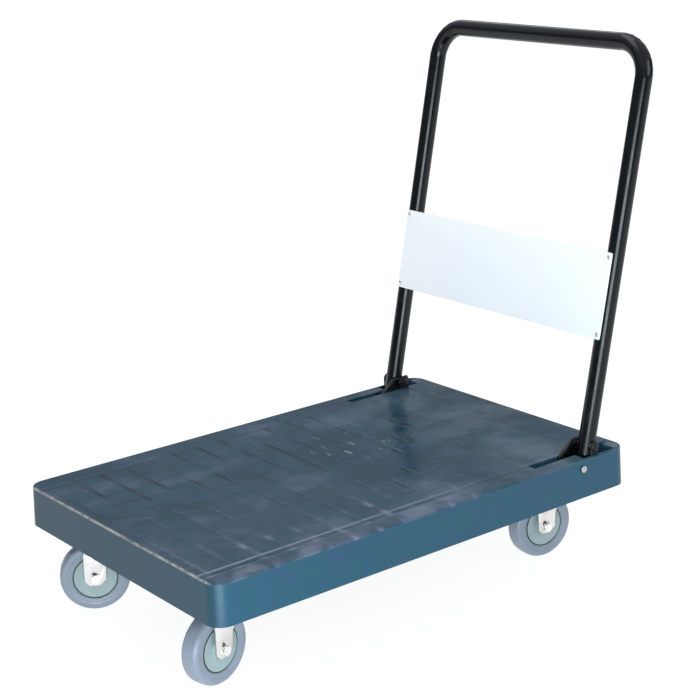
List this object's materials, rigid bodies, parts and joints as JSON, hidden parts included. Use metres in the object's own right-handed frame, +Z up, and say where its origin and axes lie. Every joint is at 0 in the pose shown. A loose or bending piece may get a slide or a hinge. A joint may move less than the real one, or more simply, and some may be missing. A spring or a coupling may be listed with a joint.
{
  "type": "folding platform cart",
  "caption": "Flat platform hand cart: ribbed plastic deck on swivel casters with a tubular push handle that folds flat onto the deck, and a blank sign panel.",
  "frame": {"origin": "on the floor, at the middle of the whole cart's footprint with the handle upright", "axes": "+X along the deck towards the handle, +Y across the deck, +Z up"},
  "size_m": [1.0047, 0.6052, 0.964],
  "materials": {
    "deck_plastic": "satin moulded polypropylene",
    "black_paint": "gloss powder coat",
    "black_steel": "blackened fasteners",
    "zinc_steel": "bright zinc plate",
    "spring_steel": "oiled spring wire",
    "bearing_steel": "ground steel",
    "white_panel": "pale satin enamel",
    "hub_plastic": "moulded nylon",
    "tyre_rubber": "non-marking grey rubber",
    "black_nylon": "moulded",
    "black_rubber": "ribbed tread"
  },
  "bodies": {
    "deck": {"deck": "deck_plastic", "hinge_bracket_right": "black_paint", "hinge_bracket_left": "black_paint", "bracket_screws": "black_steel", "stop_rod": "zinc_steel", "stop_rod_caps": "zinc_steel", "stop_buffers": "black_nylon", "pivot_bolts": "black_steel", "pivot_nuts": "black_steel", "caster_bolts": "zinc_steel", "caster_inserts": "zinc_steel", "caster_plate_front_left": "zinc_steel", "caster_plate_front_right": "zinc_steel", "caster_plate_rear_left": "zinc_steel", "caster_plate_rear_right": "zinc_steel", "kingpin_front_left": "zinc_steel", "kingpin_front_right": "zinc_steel", "kingpin_rear_left": "zinc_steel", "kingpin_rear_right": "zinc_steel"},
    "handle": {"handle_tube": "black_paint", "pivot_bushes": "zinc_steel", "handle_end_plugs": "black_nylon", "sign_plate": "white_panel", "sign_plate_screws": "zinc_steel"},
    "foot_lock": {"lock_bar": "zinc_steel", "lock_pedal": "black_rubber", "lock_springs": "spring_steel"},
    "swivel_front_left": {"fork_front_left": "zinc_steel", "swivel_balls_front_left": "bearing_steel", "axle_bolt_front_left": "zinc_steel", "axle_nut_front_left": "zinc_steel", "axle_sleeve_front_left": "zinc_steel"},
    "wheel_front_left": {"wheel_hub_front_left": "hub_plastic", "tyre_front_left": "tyre_rubber", "wheel_bearings_front_left": "bearing_steel"},
    "swivel_front_right": {"fork_front_right": "zinc_steel", "swivel_balls_front_right": "bearing_steel", "axle_bolt_front_right": "zinc_steel", "axle_nut_front_right": "zinc_steel", "axle_sleeve_front_right": "zinc_steel"},
    "wheel_front_right": {"wheel_hub_front_right": "hub_plastic", "tyre_front_right": "tyre_rubber", "wheel_bearings_front_right": "bearing_steel"},
    "swivel_rear_left": {"fork_rear_left": "zinc_steel", "swivel_balls_rear_left": "bearing_steel", "axle_bolt_rear_left": "zinc_steel", "axle_nut_rear_left": "zinc_steel", "axle_sleeve_rear_left": "zinc_steel"},
    "wheel_rear_left": {"wheel_hub_rear_left": "hub_plastic", "tyre_rear_left": "tyre_rubber", "wheel_bearings_rear_left": "bearing_steel"},
    "swivel_rear_right": {"fork_rear_right": "zinc_steel", "swivel_balls_rear_right": "bearing_steel", "axle_bolt_rear_right": "zinc_steel", "axle_nut_rear_right": "zinc_steel", "axle_sleeve_rear_right": "zinc_steel"},
    "wheel_rear_right": {"wheel_hub_rear_right": "hub_plastic", "tyre_rear_right": "tyre_rubber", "wheel_bearings_rear_right": "bearing_steel"}
  },
  "joints": [
    {"name": "handle_fold", "type": "hinge", "parent": "deck", "child": "handle", "pos_m": [0.33565, 0, 0.239], "axis": [0, -1, 0], "range_deg": [0, 98]},
    {"name": "lock_lift", "type": "slide", "parent": "deck", "child": "foot_lock", "axis": [0, 0, 1], "range_m": [0, 0.017], "deforming": ["lock_springs"]},
    {"name": "swivel_front_left", "type": "hinge", "parent": "deck", "child": "swivel_front_left", "pos_m": [-0.40535, 0.18, 0.158], "axis": [0, 0, 1], "continuous": true},
    {"name": "roll_front_left", "type": "hinge", "parent": "swivel_front_left", "child": "wheel_front_left", "pos_m": [-0.43421, 0.196, 0.0625], "axis": [0.4848, 0.8746, 0], "continuous": true},
    {"name": "swivel_front_right", "type": "hinge", "parent": "deck", "child": "swivel_front_right", "pos_m": [-0.40535, -0.18, 0.158], "axis": [0, 0, 1], "continuous": true},
    {"name": "roll_front_right", "type": "hinge", "parent": "swivel_front_right", "child": "wheel_front_right", "pos_m": [-0.43757, -0.18714, 0.0625], "axis": [-0.2164, 0.9763, 0], "continuous": true},
    {"name": "swivel_rear_left", "type": "hinge", "parent": "deck", "child": "swivel_rear_left", "pos_m": [0.34365, 0.18, 0.158], "axis": [0, 0, 1], "continuous": true},
    {"name": "roll_rear_left", "type": "hinge", "parent": "swivel_rear_left", "child": "wheel_rear_left", "pos_m": [0.31106, 0.17484, 0.0625], "axis": [-0.1564, 0.9877, 0], "continuous": true},
    {"name": "swivel_rear_right", "type": "hinge", "parent": "deck", "child": "swivel_rear_right", "pos_m": [0.34365, -0.18, 0.158], "axis": [0, 0, 1], "continuous": true},
    {"name": "roll_rear_right", "type": "hinge", "parent": "swivel_rear_right", "child": "wheel_rear_right", "pos_m": [0.31093, -0.17569, 0.0625], "axis": [0.1305, 0.9914, 0], "continuous": true}
  ]
}
